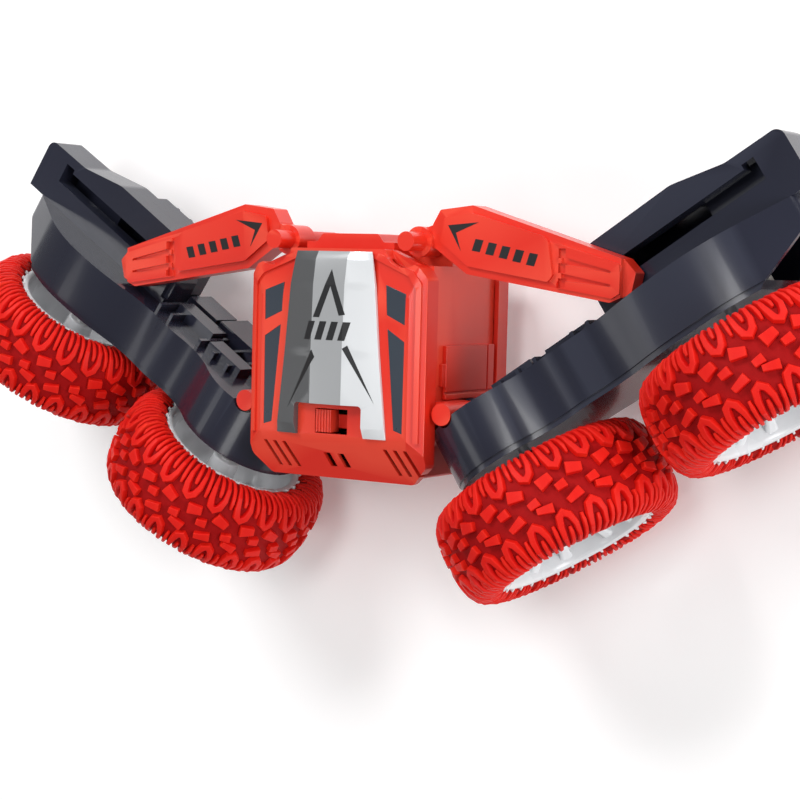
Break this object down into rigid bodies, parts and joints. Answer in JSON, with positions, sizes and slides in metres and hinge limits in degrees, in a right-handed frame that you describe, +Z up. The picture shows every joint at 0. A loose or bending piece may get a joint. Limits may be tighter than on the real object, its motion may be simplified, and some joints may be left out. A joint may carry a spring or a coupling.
{
  "type": "radio-controlled stunt car",
  "caption": "Two-faced toy stunt car whose red body sits between black swing arms, each driving big lugged wheels, with sliding links that guide the arms.",
  "frame": {"origin": "on the ground, under the middle of the car with its arms swung out", "axes": "+Z up from the ground, +Y towards the slotted front ends of the arms, +X to the right-hand arm"},
  "size_m": [0.391, 0.1668, 0.086],
  "materials": {
    "red_shell": "glossy",
    "red_link": "glossy",
    "frame_grey": "satin",
    "arm_black": "high gloss",
    "hood_silver": "pearl gloss",
    "dark_window": "gloss",
    "tyre_red": "matt",
    "rim_white": "gloss",
    "steel": "bright",
    "gear_nylon": "satin",
    "battery_wrap": "satin",
    "board_green": "satin"
  },
  "bodies": {
    "body": {"battery_door": "hood_silver", "battery_pack": "battery_wrap", "bottom_shell": "red_shell", "bottom_windows": "dark_window", "circuit_board": "board_green", "hinge_pins": "steel", "left_side_hatch": "red_shell", "mid_frame": "red_shell", "right_side_hatch": "red_shell", "shell_screws": "steel", "swing_servo": "frame_grey", "top_hood": "hood_silver", "top_shell": "red_shell", "top_windows": "dark_window"},
    "right_arm": {"right_gearbox_case": "arm_black", "right_gearbox_lid": "arm_black", "right_arm_top_cover": "arm_black", "right_arm_bottom_cover": "arm_black", "right_drive_motor": "steel", "right_arm_screws": "steel"},
    "right_link": {"right_link_arm": "red_link", "right_link_shaft": "red_link", "right_slider_pin": "steel"},
    "right_rear_wheel": {"right_rear_tyre": "tyre_red", "right_rear_rim": "rim_white", "right_rear_axle": "steel", "right_rear_axle_gear": "gear_nylon", "right_rear_hub_cap": "rim_white"},
    "right_front_wheel": {"right_front_tyre": "tyre_red", "right_front_rim": "rim_white", "right_front_axle": "steel", "right_front_axle_gear": "gear_nylon", "right_front_hub_cap": "rim_white"},
    "right_idler_1_gear": {"right_idler_1": "gear_nylon"},
    "right_idler_2_gear": {"right_idler_2": "gear_nylon"},
    "right_idler_3_gear": {"right_idler_3": "gear_nylon"},
    "left_arm": {"left_gearbox_case": "arm_black", "left_gearbox_lid": "arm_black", "left_arm_top_cover": "arm_black", "left_arm_bottom_cover": "arm_black", "left_drive_motor": "steel", "left_arm_screws": "steel"},
    "left_link": {"left_link_arm": "red_link", "left_link_shaft": "red_link", "left_slider_pin": "steel"},
    "left_rear_wheel": {"left_rear_tyre": "tyre_red", "left_rear_rim": "rim_white", "left_rear_axle": "steel", "left_rear_axle_gear": "gear_nylon", "left_rear_hub_cap": "rim_white"},
    "left_front_wheel": {"left_front_tyre": "tyre_red", "left_front_rim": "rim_white", "left_front_axle": "steel", "left_front_axle_gear": "gear_nylon", "left_front_hub_cap": "rim_white"},
    "left_idler_1_gear": {"left_idler_1": "gear_nylon"},
    "left_idler_2_gear": {"left_idler_2": "gear_nylon"},
    "left_idler_3_gear": {"left_idler_3": "gear_nylon"},
    "switch_knob": {"power_switch": "red_link"}
  },
  "joints": [
    {"name": "right_arm_swing", "type": "hinge", "parent": "body", "child": "right_arm", "pos_m": [0.043, -0.01455, 0.043], "axis": [0, 0, 1], "range_deg": [0, 56.3]},
    {"name": "right_link_swing", "type": "hinge", "parent": "body", "child": "right_link", "pos_m": [0.0286, 0.04545, 0.043], "axis": [0, 0, 1], "range_deg": [0, 97]},
    {"name": "right_rear_wheel_spin", "type": "hinge", "parent": "right_arm", "child": "right_rear_wheel", "pos_m": [0.07612, -0.04799, 0.043], "axis": [0.5548, -0.832, 0], "continuous": true},
    {"name": "right_front_wheel_spin", "type": "hinge", "parent": "right_arm", "child": "right_front_wheel", "pos_m": [0.15308, 0.00333, 0.043], "axis": [0.5548, -0.832, 0], "continuous": true},
    {"name": "right_idler_1_spin", "type": "hinge", "parent": "right_arm", "child": "right_idler_1_gear", "pos_m": [0.08231, -0.00997, 0.043], "axis": [0.5548, -0.832, 0], "continuous": true},
    {"name": "right_idler_2_spin", "type": "hinge", "parent": "right_arm", "child": "right_idler_2_gear", "pos_m": [0.09895, 0.00113, 0.043], "axis": [0.5548, -0.832, 0], "continuous": true},
    {"name": "right_idler_3_spin", "type": "hinge", "parent": "right_arm", "child": "right_idler_3_gear", "pos_m": [0.11559, 0.01223, 0.043], "axis": [0.5548, -0.832, 0], "continuous": true},
    {"name": "left_arm_swing", "type": "hinge", "parent": "body", "child": "left_arm", "pos_m": [-0.043, -0.01455, 0.043], "axis": [0, 0, -1], "range_deg": [0, 56.3]},
    {"name": "left_link_swing", "type": "hinge", "parent": "body", "child": "left_link", "pos_m": [-0.0286, 0.04545, 0.043], "axis": [0, 0, -1], "range_deg": [0, 97]},
    {"name": "left_rear_wheel_spin", "type": "hinge", "parent": "left_arm", "child": "left_rear_wheel", "pos_m": [-0.07612, -0.04799, 0.043], "axis": [-0.5548, -0.832, 0], "continuous": true},
    {"name": "left_front_wheel_spin", "type": "hinge", "parent": "left_arm", "child": "left_front_wheel", "pos_m": [-0.15308, 0.00333, 0.043], "axis": [-0.5548, -0.832, 0], "continuous": true},
    {"name": "left_idler_1_spin", "type": "hinge", "parent": "left_arm", "child": "left_idler_1_gear", "pos_m": [-0.08231, -0.00997, 0.043], "axis": [-0.5548, -0.832, 0], "continuous": true},
    {"name": "left_idler_2_spin", "type": "hinge", "parent": "left_arm", "child": "left_idler_2_gear", "pos_m": [-0.09895, 0.00113, 0.043], "axis": [-0.5548, -0.832, 0], "continuous": true},
    {"name": "left_idler_3_spin", "type": "hinge", "parent": "left_arm", "child": "left_idler_3_gear", "pos_m": [-0.11559, 0.01223, 0.043], "axis": [-0.5548, -0.832, 0], "continuous": true},
    {"name": "power_switch_slide", "type": "slide", "parent": "body", "child": "switch_knob", "axis": [1, 0, 0], "range_m": [0, 0.005]}
  ],
  "couplings": [
    {"joint": "right_idler_1_spin", "follows": "right_rear_wheel_spin", "ratio": -1.625},
    {"joint": "right_idler_2_spin", "follows": "right_rear_wheel_spin", "ratio": 1.625},
    {"joint": "right_idler_3_spin", "follows": "right_rear_wheel_spin", "ratio": -1.625},
    {"joint": "right_front_wheel_spin", "follows": "right_rear_wheel_spin", "ratio": 1},
    {"joint": "left_idler_1_spin", "follows": "left_rear_wheel_spin", "ratio": -1.625},
    {"joint": "left_idler_2_spin", "follows": "left_rear_wheel_spin", "ratio": 1.625},
    {"joint": "left_idler_3_spin", "follows": "left_rear_wheel_spin", "ratio": -1.625},
    {"joint": "left_front_wheel_spin", "follows": "left_rear_wheel_spin", "ratio": 1},
    {"joint": "left_arm_swing", "follows": "right_arm_swing", "ratio": 1},
    {"joint": "right_link_swing", "follows": "right_arm_swing", "ratio": 1.71},
    {"joint": "left_link_swing", "follows": "right_arm_swing", "ratio": 1.71}
  ]
}
